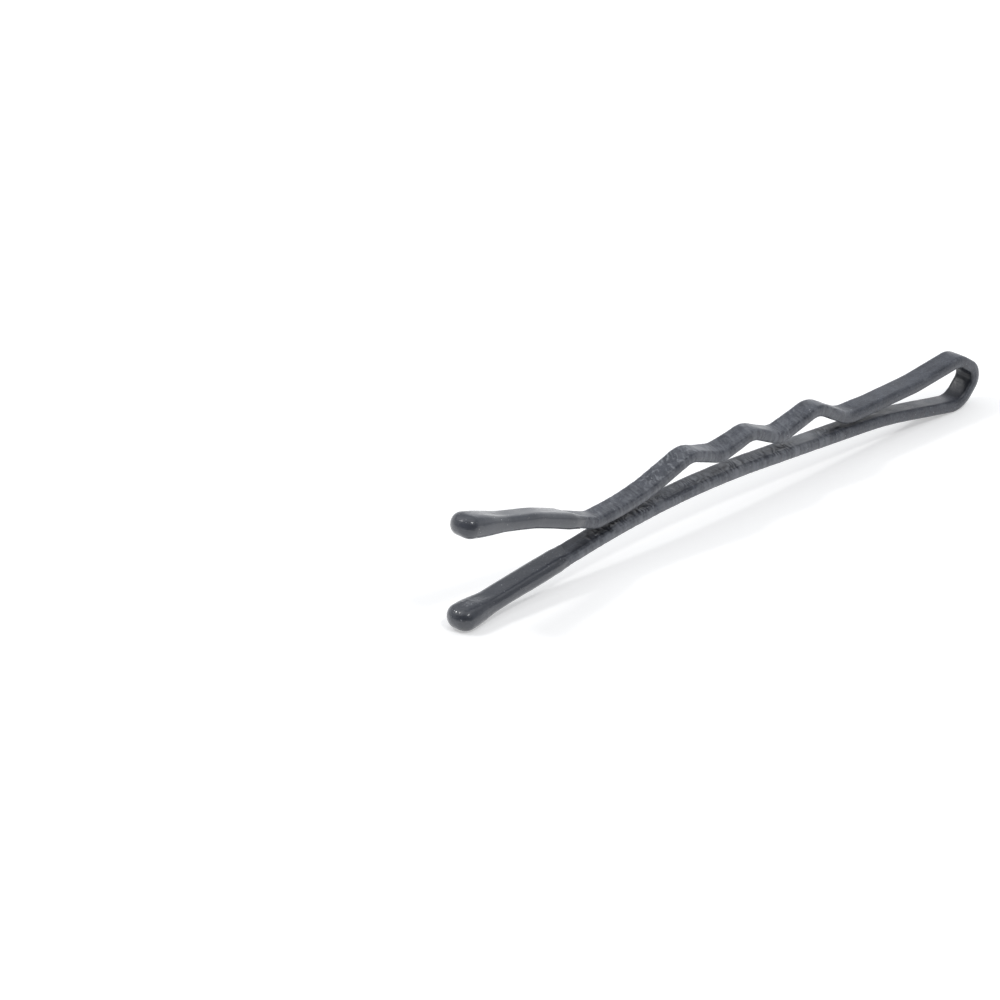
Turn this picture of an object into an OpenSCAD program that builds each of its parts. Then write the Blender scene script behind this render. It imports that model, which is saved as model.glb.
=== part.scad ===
// Bobby pin: one strip of flat spring-steel wire, bent back on itself in a
// teardrop loop. A straight leg lies below and a crimped leg rests over it.
// The strip is lacquered, and both tips are dipped so that they end in beads.
//
// X runs from the tips to the loop, Y across the strip, and Z up from the
// straight leg to the crimped leg. The origin is in the middle of the pin's
// length and width, at the level that the pin stands on.
//
// The strip's centre line is drawn as it is formed: it wraps round a row of
// forming pins. Each stop is [x, z, radius], where a positive radius turns the
// strip to the left and a negative one to the right, and 0 is a plain point.
// Stations are measured along the pin from the tips.

/* [Strip] */
// Length of the pin, from the straight tip to the outside of the loop
pin_length = 50; // [47:0.5:64]
// Width of the lacquered strip
strip_width = 1.6; // [1.3:0.05:2]
// Thickness of the lacquered strip
strip_thickness = 0.82; // [0.65:0.01:1]
// Rounding along the lacquered strip's long edges
edge_radius = 0.25; // [0.15:0.01:0.3]
// Thickness of the lacquer
lacquer = 0.05; // [0.03:0.01:0.08]

/* [Straight leg] */
// Station of the arch's highest point
arch_at = 22.4; // [19:0.1:27]
// Height of the centre line there, over the level that the pin stands on
arch_height = 2.8; // [2.2:0.05:3.4]
// Radius of the arch
arch_radius = 82; // [50:1:110]
// Distance from the place that flexes back to the bend down into the loop
heel_lead = 4.4; // [3.5:0.1:6]
// Height of that bend's corner
heel_height = 1.7; // [1.4:0.05:2.1]
// Radius of that bend
heel_radius = 36; // [20:1:50]

/* [Flare] */
// Height between the centres of the two tips
tip_spread = 6.35; // [5.2:0.05:7.7]
// Distance that the crimped tip ends short of the straight tip
tip_setback = 0.3; // [0:0.05:0.8]
// Station of the bend where the flare meets the leg
bend_at = 12.9; // [11.8:0.1:15.5]
// Clear space under that bend
bend_gap = 0.55; // [0.3:0.05:0.8]
// Radius of that bend
bend_radius = 1.9; // [1.2:0.1:2.4]
// Distance from that bend back to the soft bend in the flare
bow_lead = 5.6; // [4.5:0.1:6.8]
// Clear space under the flare there
bow_gap = 3.2; // [2.9:0.05:3.5]
// Radius of that soft bend
bow_radius = 12; // [8:0.5:20]

/* [Crimps] */
// Distance from the bend to the soft bend in the rise to the first crest
rise_lead = 3.7; // [3:0.1:4.5]
// Clear space under that soft bend's corner
rise_gap = 0.4; // [0.3:0.01:0.6]
// Radius of that soft bend
rise_radius = 20; // [10:1:24]
// Distance from the bend to the first crest
crest_1_lead = 8.6; // [7.1:0.1:10.4]
// Clear space under the first crest
crest_1_gap = 1.65; // [1.35:0.05:2]
// Distance from the first crest to the trough behind it
trough_1_lead = 3.1; // [2.6:0.05:3.8]
// Clear space under the first trough
trough_1_gap = 0.8; // [0.5:0.05:1]
// Radius of the first trough
trough_1_radius = 2.2; // [1:0.1:2.7]
// Distance from the first trough to the second crest
crest_2_lead = 2.65; // [2.2:0.05:3.2]
// Clear space under the second crest
crest_2_gap = 1.45; // [1.2:0.05:1.8]
// Distance from the second crest to the trough behind it
trough_2_lead = 2.9; // [2.4:0.05:3.5]
// Clear space under the second trough
trough_2_gap = 0.5; // [0.3:0.05:0.7]
// Radius of the second trough
trough_2_radius = 1; // [0.8:0.05:1.5]
// Distance from the second trough to the third crest
crest_3_lead = 3.45; // [2.85:0.05:4.15]
// Clear space under the third crest
crest_3_gap = 1.5; // [1.25:0.05:1.9]
// Distance from the third crest to the trough behind it
trough_3_lead = 3.55; // [3:0.05:4.3]
// Clear space under the third trough, where the legs come closest
trough_3_gap = 0.2; // [0.1:0.01:0.4]
// Radius of the third trough
trough_3_radius = 1.3; // [0.8:0.05:1.6]
// Radius of the crests
crest_radius = 1.9; // [1:0.05:2.3]

/* [Loop] */
// Height of the loop, outside
loop_height = 3.95; // [3.3:0.05:4.7]
// Distance from the end of the loop back to the top of the upper shoulder
upper_shoulder_back = 2.5; // [2.1:0.05:3]
// Radius of the upper shoulder
upper_shoulder_radius = 1.15; // [0.8:0.05:1.4]
// Height of the middle of the loop's end over the middle of the loop
nose_lift = 0.08; // [0:0.01:0.2]
// Radius of the loop's end
nose_radius = 0.95; // [0.75:0.05:1.15]
// Distance from the end of the loop back to the underside of the lower shoulder
lower_shoulder_back = 2.4; // [2:0.05:2.9]
// Radius of the lower shoulder
lower_shoulder_radius = 1.8; // [1.2:0.05:2.2]
// Distance from the place that flexes back to the soft bend in the upper limb
limb_lead = 1.3; // [1.1:0.05:2]
// Drop from the top of the loop's centre line to that soft bend's corner
limb_drop = 0.44; // [0.3:0.01:0.6]
// Radius of that soft bend
limb_radius = 14; // [8:1:17]

/* [Dipped tips] */
// Length of the dip on the straight leg, from the tip
straight_dip = 10; // [8:0.1:12]
// Length of the dip on the crimped leg, from the tip
crimped_dip = 10.7; // [8.5:0.1:11.5]
// Thickness of the dipped sleeve on the flats
dip_flat = 0.13; // [0.08:0.01:0.18]
// Thickness of the dipped sleeve on the edges
dip_side = 0.13; // [0.08:0.01:0.18]
// Thickness of the sleeve at its mouth
dip_lip = 0.05; // [0.03:0.01:0.07]
// Length over which the sleeve thins to its mouth
lip_length = 0.5; // [0.3:0.1:0.8]
// Height of the bead over the strip's flats
bead_flat = 0.37; // [0.3:0.01:0.55]
// Height of the bead over the strip's edges
bead_side = 0.325; // [0.2:0.005:0.5]
// Length of the bead, from its end to the sleeve
bead_length = 3; // [2.4:0.1:3.4]
// Length of the bead's rounded end
bead_round = 0.9; // [0.75:0.05:1]
// Depth of material in front of the end of the strip
end_cover = 0.5; // [0.35:0.05:0.6]

/* [Flexing] */
// Distance from the end of the loop back to the places where the legs flex
flex_back = 5; // [4.1:0.1:6]
// Angle that each leg flexes open
flex_angle = 10; // [5:1:12]
// Clearance left between leg and loop when the leg is open
flex_clearance = 0.03; // [0.02:0.01:0.06]

/* [Hidden] */

steel = "silver";
black_lacquer = "#3a3a3c";
black_dip = "#2a2a2c";

// The finest turn and the longest chord between two rings of an arc
ring_turn = 7.5;
ring_chord = 3;
// Steps round each corner of a cross-section, and along a bead's end and neck
corner_steps = 2;
bead_steps = 5;
// A rounding never takes more than this share of half the section
full_round = 0.96;
// The small flat at a bead's end, as a share of the bead
pole_flat = 0.1;
// The share of the room beside a corner that its arc may take
arc_room = 0.9;

// The seam stays open when a leg turns about its middle by the flex angle.
seam = strip_thickness * tan(flex_angle / 2) + flex_clearance;
wire_width = strip_width - 2 * lacquer;
wire_thickness = strip_thickness - 2 * lacquer;
wire_edge = edge_radius - lacquer;
bead_width = strip_width + 2 * bead_side;
bead_thickness = strip_thickness + 2 * bead_flat;
loop_end = pin_length - strip_thickness / 2;
flex_at = pin_length - flex_back;

// Directions: the left-hand side of a heading, and a turn brought to -180..180.
function left_of(heading) = [-sin(heading), cos(heading)];
function along(heading) = [cos(heading), sin(heading)];
function turn_between(from, to) = to - from - 360 * floor((to - from + 180) / 360);
function place(stop) = [stop[0], stop[1]];

// Heading of the straight stretch that touches two neighbouring stops.
function link(a, b) =
    let (span = place(b) - place(a))
    atan2(span[1], span[0]) - asin((b[2] - a[2]) / norm(span));

// Where a straight stretch with this heading leaves a stop.
function touch(stop, heading) = place(stop) - stop[2] * left_of(heading);

// The point at station x of the straight stretch between two stops.
function link_point(a, b, x) =
    let (heading = link(a, b), start = touch(a, heading))
    [x, start[1] + (x - start[0]) * tan(heading)];

// A stop that rounds off a corner between two stops. Its arc stays within the
// given room on either side of the corner, and clear of the arcs next to it.
function soft_stop(before, corner, after, radius, room) =
    let (
        point = [corner[0], corner[1], 0],
        first = link(before, point),
        second = link(point, after),
        turn = turn_between(first, second),
        ahead = norm(corner - touch(before, first)),
        behind = norm(corner - touch(after, second)),
        reach = arc_room * min(room, ahead, behind),
        size = sign(turn) * min(radius, reach / tan(abs(turn) / 2)),
        centre = corner + size * (left_of(first) + left_of(second)) / (1 + cos(turn))
    )
    [centre[0], centre[1], size];

// Points [x, z, heading] round one stop.
function arc_points(stop, first, second) =
    let (
        turn = turn_between(first, second),
        chords = abs(turn) * PI / 180 * abs(stop[2]) / ring_chord,
        steps = max(1, ceil(abs(turn) / ring_turn), ceil(chords))
    )
    [for (k = [0:steps])
        let (heading = first + turn * k / steps, point = touch(stop, heading))
        [point[0], point[1], heading]];

// The whole centre line through a row of stops, as points [x, z, heading].
function centre_line(stops) =
    let (
        last = len(stops) - 1,
        headings = [for (i = [1:last]) link(stops[i - 1], stops[i])]
    )
    concat(
        [[stops[0][0], stops[0][1], headings[0]]],
        [for (i = [1:last - 1]) each arc_points(stops[i], headings[i - 1], headings[i])],
        [[stops[last][0], stops[last][1], headings[last - 1]]]
    );

// The point of a centre line at a station. The line runs from its tip.
function point_at(line, x) =
    [x, lookup(x, [for (p = line) [p[0], p[1]]]), lookup(x, [for (p = line) [p[0], p[2]]])];

// Where the strip ends inside a bead. A tip is the middle of its bead's round end.
function strip_end(tip, heading) =
    let (point = place(tip) + (end_cover - bead_round) * along(heading))
    [point[0], point[1], 0];

// The largest radius of a shoulder that still lets the nose's arc stand out of it
function shoulder_radius(radius, back, rise) =
    let (run = back - strip_thickness / 2 - nose_radius, free = rise - nose_radius)
    free > 0
        ? min(radius, arc_room * (run * run + rise * rise - nose_radius * nose_radius) / (2 * free))
        : radius;

// The loop, which stands on its lower shoulder
loop_top = loop_height - strip_thickness / 2;
nose = [loop_end - nose_radius, loop_height / 2 + nose_lift, -nose_radius];
upper_round = shoulder_radius(upper_shoulder_radius, upper_shoulder_back, loop_top - nose[1]);
lower_round =
    shoulder_radius(lower_shoulder_radius, lower_shoulder_back, nose[1] - strip_thickness / 2);
upper_shoulder = [pin_length - upper_shoulder_back, loop_top - upper_round, -upper_round];
lower_shoulder = [pin_length - lower_shoulder_back, strip_thickness / 2 + lower_round, lower_round];

// The straight leg, from its tip to the loop
straight_tip = [bead_round, bead_thickness / 2, 0];
arch_run = arch_at - straight_tip[0];
arch_rise = arch_height - straight_tip[1];
arch_limit = (arch_run * arch_run + arch_rise * arch_rise) / (2 * arch_rise);
arch_round = min(arch_radius, arc_room * arch_limit);
arch = [arch_at, arch_height - arch_round, -arch_round];
heel = soft_stop(arch, [flex_at - heel_lead, heel_height], lower_shoulder, heel_radius,
    heel_lead);
straight_line = centre_line([straight_tip, arch, heel, lower_shoulder]);
straight_end = strip_end(straight_tip, link(straight_tip, arch));

// The crimped leg, from its tip to the loop. A gap is the clear space that the
// lacquered strip leaves over the straight leg's strip.
function over_leg(x, gap) = point_at(straight_line, x)[1] + strip_thickness + gap;
function crest(x, gap) = [x, over_leg(x, gap) - crest_radius, -crest_radius];
function trough(x, gap, radius) = [x, over_leg(x, gap) + radius, radius];
crest_1_at = bend_at + crest_1_lead;
trough_1_at = crest_1_at + trough_1_lead;
crest_2_at = trough_1_at + crest_2_lead;
trough_2_at = crest_2_at + trough_2_lead;
crest_3_at = trough_2_at + crest_3_lead;
trough_3_at = crest_3_at + trough_3_lead;
bow_at = bend_at - bow_lead;
rise_at = bend_at + rise_lead;
crimped_tip = [bead_round + tip_setback, bead_thickness / 2 + tip_spread, 0];
bend = trough(bend_at, bend_gap, bend_radius);
crest_1 = crest(crest_1_at, crest_1_gap);
trough_3 = trough(trough_3_at, trough_3_gap, trough_3_radius);
bow = soft_stop(crimped_tip, [bow_at, over_leg(bow_at, bow_gap)], bend, bow_radius,
    bow_lead);
rise = soft_stop(bend, [rise_at, over_leg(rise_at, rise_gap)], crest_1, rise_radius,
    rise_lead);
limb = soft_stop(trough_3, [flex_at - limb_lead, loop_top - limb_drop], upper_shoulder,
    limb_radius, limb_lead);
crimped_end = strip_end(crimped_tip, link(crimped_tip, bow));

// The seams: a stretch ends half a seam before or after the place that flexes.
function seam_stop(a, b, side) =
    let (x = flex_at + side * seam / 2 * cos(link(a, b)), point = link_point(a, b, x))
    [point[0], point[1], 0];

straight_stops = [straight_end, arch, heel, seam_stop(heel, lower_shoulder, -1)];
crimped_stops = [
    crimped_end, bow, bend, rise,
    crest_1, trough(trough_1_at, trough_1_gap, trough_1_radius),
    crest(crest_2_at, crest_2_gap), trough(trough_2_at, trough_2_gap, trough_2_radius),
    crest(crest_3_at, crest_3_gap), trough_3,
    limb, seam_stop(limb, upper_shoulder, -1)
];
loop_stops = [
    seam_stop(limb, upper_shoulder, 1),
    upper_shoulder, nose,
    [lower_shoulder[0], lower_shoulder[1], -lower_round],
    seam_stop(heel, lower_shoulder, 1)
];

// A rounded rectangle as points [across, up]
function rounded_section(width, height, radius) =
    let (
        r = min(radius, full_round * min(width, height) / 2),
        x = width / 2 - r,
        y = height / 2 - r
    )
    [for (quarter = [0:3], k = [0:corner_steps])
        let (
            angle = 90 * (quarter + k / corner_steps),
            side = quarter == 0 || quarter == 3 ? 1 : -1,
            top = quarter < 2 ? 1 : -1
        )
        [side * x + r * cos(angle), top * y + r * sin(angle)]];

// That section set square to the centre line at a point of it
function ring(point, section) =
    [for (s = section)
        [point[0] - s[1] * sin(point[2]), s[0], point[1] + s[1] * cos(point[2])]];
function rings(line, section) = [for (point = line) ring(point, section)];
function reversed(list) = [for (i = [len(list) - 1:-1:0]) list[i]];

// A skin through a row of rings. Its ends are capped, or it closes on itself.
module loft(chain, closed = false) {
    sides = len(chain[0]);
    count = len(chain);
    spans = closed ? count : count - 1;
    skin = [for (i = [0:spans - 1], j = [0:sides - 1])
        let (
            a = i * sides,
            b = (i + 1) % count * sides,
            k = (j + 1) % sides
        )
        each [[a + j, b + j, b + k], [a + j, b + k, a + k]]];
    start_cap = [for (j = [0:sides - 1]) j];
    end_cap = [for (j = [sides - 1:-1:0]) (count - 1) * sides + j];
    polyhedron(
        points = [for (r = chain) each r],
        faces = closed ? skin : concat(skin, [start_cap, end_cap])
    );
}

wire_section = rounded_section(wire_width, wire_thickness, wire_edge);
strip_section = rounded_section(strip_width, strip_thickness, edge_radius);

// Bare steel inside a stretch of the strip
module wire(stops) {
    color(steel)
        loft(rings(centre_line(stops), wire_section));
}

// Lacquer round a stretch of the strip, open where the stretch ends
module coat(stops) {
    line = centre_line(stops);
    color(black_lacquer)
        loft(concat(rings(line, strip_section), reversed(rings(line, wire_section))), closed = true);
}

// Sections of the dip, which blend from the bead to the sleeve
function blend(from, to, share) = from + (to - from) * (1 - cos(180 * share)) / 2;
function dip_section(width, thickness) =
    rounded_section(width, thickness, full_round * thickness / 2);
sleeve_width = strip_width + 2 * dip_side;
sleeve_thickness = strip_thickness + 2 * dip_flat;
lip_section = rounded_section(
    strip_width + 2 * dip_lip,
    strip_thickness + 2 * dip_lip,
    edge_radius + dip_lip
);

// A dipped tip: a bead in front of the strip's end and a sleeve along the leg
module dipped_tip(stops, tip, dip) {
    line = centre_line(stops);
    heading = line[0][2];
    pole = tip - bead_round * along(heading);
    mouth = point_at(line, dip);
    lip_start = point_at(line, dip - lip_length);

    // Rings of the bead, by distance from its end
    bead_rings = [
        for (k = [0:bead_steps])
            let (
                angle = 90 * k / bead_steps,
                scale_by = max(sin(angle), pole_flat),
                point = pole + bead_round * (1 - cos(angle)) * along(heading)
            )
            ring([point[0], point[1], heading],
                dip_section(bead_width * scale_by, bead_thickness * scale_by)),
        for (k = [1:bead_steps])
            let (
                share = k / bead_steps,
                distance = bead_round + (bead_length - bead_round) * share,
                point = pole + distance * along(heading)
            )
            ring([point[0], point[1], heading],
                dip_section(
                    blend(bead_width, sleeve_width, share),
                    blend(bead_thickness, sleeve_thickness, share)
                ))
    ];

    // Points of the leg that the sleeve covers, behind the bead
    covered = [for (p = line) if (p[0] > pole[0] + bead_length && p[0] < dip - lip_length) p];
    pocket = [for (p = line) if (p[0] < dip) p];
    color(black_dip)
        loft(concat(
            bead_rings,
            rings(covered, dip_section(sleeve_width, sleeve_thickness)),
            [
                ring(lip_start, dip_section(sleeve_width, sleeve_thickness)),
                ring(mouth, lip_section),
                ring(mouth, strip_section)
            ],
            rings(reversed(pocket), strip_section)
        ));
}

// Brings the middle of the pin's length over the origin
module stand() {
    translate([-pin_length / 2, 0, 0])
        children();
}

module straight_leg_wire() { stand() wire(straight_stops); }
module loop_wire() { stand() wire(loop_stops); }
module crimped_leg_wire() { stand() wire(crimped_stops); }
module straight_leg_coat() { stand() coat(straight_stops); }
module loop_coat() { stand() coat(loop_stops); }
module crimped_leg_coat() { stand() coat(crimped_stops); }
module straight_leg_tip() { stand() dipped_tip(straight_stops, place(straight_tip), straight_dip); }
module crimped_leg_tip() { stand() dipped_tip(crimped_stops, place(crimped_tip), crimped_dip); }

straight_leg_wire();
loop_wire();
crimped_leg_wire();
straight_leg_coat();
loop_coat();
crimped_leg_coat();
straight_leg_tip();
crimped_leg_tip();
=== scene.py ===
"""A bobby pin: one strip of flat spring wire, lacquered black, with both tips dipped.

The strip is a section carried along its formed centre line. That line wraps round a
row of forming pins, as the wire does when it is bent. Sizes are in millimetres and
stations are measured along the pin from its tips. Meshes are in metres, in the frame
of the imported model: X from the tips to the loop, Y across the strip, Z up.
"""

import logging
import math
from collections.abc import Callable
from dataclasses import dataclass
from enum import Enum
from functools import partial

import bpy
import numpy as np
from bpy.types import Material, Node, NodeSocket, NodeTree, Object, World
from mathutils import Matrix, Vector


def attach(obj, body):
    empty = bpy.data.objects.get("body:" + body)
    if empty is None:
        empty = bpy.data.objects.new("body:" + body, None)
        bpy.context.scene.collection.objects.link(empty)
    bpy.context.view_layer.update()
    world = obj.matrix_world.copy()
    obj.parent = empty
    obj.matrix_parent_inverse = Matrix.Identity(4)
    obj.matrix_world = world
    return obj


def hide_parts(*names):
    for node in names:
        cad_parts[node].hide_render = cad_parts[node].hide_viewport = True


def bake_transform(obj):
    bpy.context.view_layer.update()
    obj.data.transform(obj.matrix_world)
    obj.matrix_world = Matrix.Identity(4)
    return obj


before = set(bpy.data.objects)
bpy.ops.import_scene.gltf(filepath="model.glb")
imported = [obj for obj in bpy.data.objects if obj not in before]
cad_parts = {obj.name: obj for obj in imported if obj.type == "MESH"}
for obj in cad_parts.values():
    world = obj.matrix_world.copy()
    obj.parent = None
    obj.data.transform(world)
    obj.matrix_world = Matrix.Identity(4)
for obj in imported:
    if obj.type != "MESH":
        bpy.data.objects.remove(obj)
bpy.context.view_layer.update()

MM = 0.001
Array = np.ndarray
Pair = tuple[float, float]
Triple = tuple[float, float, float]
Quad = tuple[float, float, float, float]
Steps = tuple[int, int, int]
Adder = Callable[..., Node]

log = logging.getLogger("bobby_pin")


class Leg(Enum):
    """The two legs, each named as its body."""

    STRAIGHT = "straight_leg"
    CRIMPED = "crimped_leg"


# Shapes


def fade(t: Array) -> Array:
    """The cubic 3t^2 - 2t^3 of shares held between 0 and 1, whose ends are level."""
    t = np.clip(t, 0.0, 1.0)
    return t * t * (3.0 - 2.0 * t)


def window(x: Array, start: float, end: float, soft: float) -> Array:
    """A share that is 1 between two places and fades to 0 over a soft length at each."""
    return fade((x - start) / soft + 0.5) * fade((end - x) / soft + 0.5)


def lattice_noise(u: Array, v: Array, steps: tuple[int, int], seed: int) -> Array:
    """Smooth random heights between -1 and 1.

    One random value stands on each crossing of a lattice with unit steps, and the
    values between are blended with the fade cubic in both directions. The lattice
    repeats, so a pattern that goes once round the strip has no seam.

    Args:
        u: Lattice places along the strip.
        v: Lattice places round the strip.
        steps: Number of lattice steps before it repeats, along and round.
        seed: Seed of the random values.

    Returns:
        Heights, of the shape that u and v have together.
    """
    values = np.random.default_rng(seed).uniform(-1.0, 1.0, steps)
    u, v = np.broadcast_arrays(u, v)
    i, j = np.floor(u).astype(int), np.floor(v).astype(int)
    a, b = fade(u - i), fade(v - j)
    i0, i1 = i % steps[0], (i + 1) % steps[0]
    j0, j1 = j % steps[1], (j + 1) % steps[1]
    near = values[i0, j0] * (1 - a) + values[i1, j0] * a
    far = values[i0, j1] * (1 - a) + values[i1, j1] * a
    return near * (1 - b) + far * b


@dataclass(frozen=True)
class Section:
    """A rounded rectangle as places round it, with the same count at any size.

    Attributes:
        across: Share of the half width at which each place's corner centre lies.
        up: Share of the half height at which it lies.
        angle: Direction that each place faces, in radians.
        around: Distance of each place round the bare strip, in millimetres.
    """

    across: Array
    up: Array
    angle: Array
    around: Array

    @classmethod
    def divided(cls, steps: Steps, width: float, height: float, radius: float) -> "Section":
        """A section that starts in the middle of the underside and runs once round.

        Args:
            steps: Steps on each corner, on each flat, an even number, and on each side.
            width: Width that distances round the strip are measured on.
            height: Height that they are measured on.
            radius: Corner radius that they are measured on.

        Returns:
            The section.
        """
        corner, flat, side = steps
        half = flat // 2
        sweep = np.linspace(0.0, math.pi / 2, corner, endpoint=False)
        rise = np.linspace(-1.0, 1.0, side, endpoint=False)
        slide = np.linspace(1.0, -1.0, flat, endpoint=False)
        down, left, top, right = -math.pi / 2, math.pi, math.pi / 2, 0.0
        runs = [
            (np.linspace(0, 1, half, endpoint=False), -1.0, down),
            (1.0, -1.0, down + sweep),
            (1.0, rise, right),
            (1.0, 1.0, right + sweep),
            (slide, 1.0, top),
            (-1.0, 1.0, top + sweep),
            (-1.0, -rise, left),
            (-1.0, -1.0, left + sweep),
            (np.linspace(-1, 0, half, endpoint=False), -1.0, down),
        ]
        parts = [np.broadcast_arrays(*[np.atleast_1d(p) for p in run]) for run in runs]
        across, up, angle = (np.concatenate([p[k] for p in parts]).astype(float) for k in range(3))
        x = across * (width / 2 - radius) + radius * np.cos(angle)
        z = up * (height / 2 - radius) + radius * np.sin(angle)
        strides = np.hypot(np.diff(x, append=x[:1]), np.diff(z, append=z[:1]))
        return cls(across, up, angle, np.concatenate([[0.0], np.cumsum(strides)]))

    def points(self, width: Array | float, height: Array | float, radius: Array | float,
               lift: Array) -> Array:
        """The section's places at each ring, as [ring, place, (across, up)].

        A place is its corner centre plus the corner radius, and any lift, in the
        direction that it faces.

        Args:
            width: Width at each ring, or one for all.
            height: Height at each ring, or one for all.
            radius: Corner radius at each ring, or one for all.
            lift: Height of the relief at each ring and place.

        Returns:
            The places in millimetres.
        """
        width, height, radius = (np.reshape(a, (-1, 1)) for a in (width, height, radius))
        reach = radius + lift
        across = self.across * (width / 2 - radius) + reach * np.cos(self.angle)
        up = self.up * (height / 2 - radius) + reach * np.sin(self.angle)
        return np.stack([across, up], axis=-1)


@dataclass(frozen=True)
class Line:
    """A centre line as rings: places [x, z], headings and distances along it.

    Attributes:
        place: Places in millimetres, stations and heights.
        heading: Directions in radians, 0 towards the loop and a quarter turn up.
        along: Distances from the line's start.
    """

    place: Array
    heading: Array
    along: Array

    def reversed(self) -> "Line":
        """The same line run from its end, with distances from there."""
        back = self.along[-1] - self.along[::-1]
        return Line(self.place[::-1], self.heading[::-1] + math.pi, back)

    def at(self, along: Array) -> "Line":
        """The line at distances in an array of any shape, read off between its rings."""
        x, z, heading = (np.interp(along, self.along, a) for a in (*self.place.T, self.heading))
        return Line(np.stack([x, z], axis=-1), heading, along)

    def carry(self, section: Array, half_length: float) -> Array:
        """Carries a section along the line.

        A point is the line's place, plus its share across on Y, plus its share up on
        the line's left-hand side.

        Args:
            section: Places [ring, place, (across, up)]. The line has the same first
                two axes, or one place for the whole ring.
            half_length: Station of the frame's origin.

        Returns:
            Points [ring, place, (x, y, z)] in metres.
        """
        left = np.stack([-np.sin(self.heading), np.cos(self.heading)], axis=-1)
        flat = self.place + section[..., 1:2] * left
        points = np.stack([flat[..., 0] - half_length, section[..., 0], flat[..., 1]], axis=-1)
        return points * MM


def side_of(heading: float) -> Array:
    """The left-hand side of a heading, as [x, z]."""
    return np.array([-math.sin(heading), math.cos(heading)])


def link(a: Array, b: Array) -> float:
    """Heading of the straight stretch that touches two pins, each [x, z, signed radius]."""
    # The heading between their middles, less the arc sine of the difference of the radii
    # over their distance.
    span = b[:2] - a[:2]
    return math.atan2(span[1], span[0]) - math.asin((b[2] - a[2]) / math.hypot(*span))


def touch(pin: Array, heading: float) -> Array:
    """Where a stretch touches a pin: the pin's middle, less its radius to the left."""
    return pin[:2] - pin[2] * side_of(heading)


def wrapped(angle: float) -> float:
    """An angle brought between minus and plus half a turn."""
    return (angle + math.pi) % (2 * math.pi) - math.pi


def soft_pin(before: Array, corner: Array, after: Array, radius: float) -> Array:
    """A pin that rounds off a corner between two pins.

    Args:
        before: The pin before the corner.
        corner: The corner, as a pin without a radius.
        after: The pin after it.
        radius: Radius of the bend.

    Returns:
        The pin, [x, z, signed radius].
    """
    first, second = link(before, corner), link(corner, after)
    turn = wrapped(second - first)
    signed = math.copysign(radius, turn)
    middle = corner[:2] + signed * (side_of(first) + side_of(second)) / (1 + math.cos(turn))
    return np.array([*middle, signed])


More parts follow.
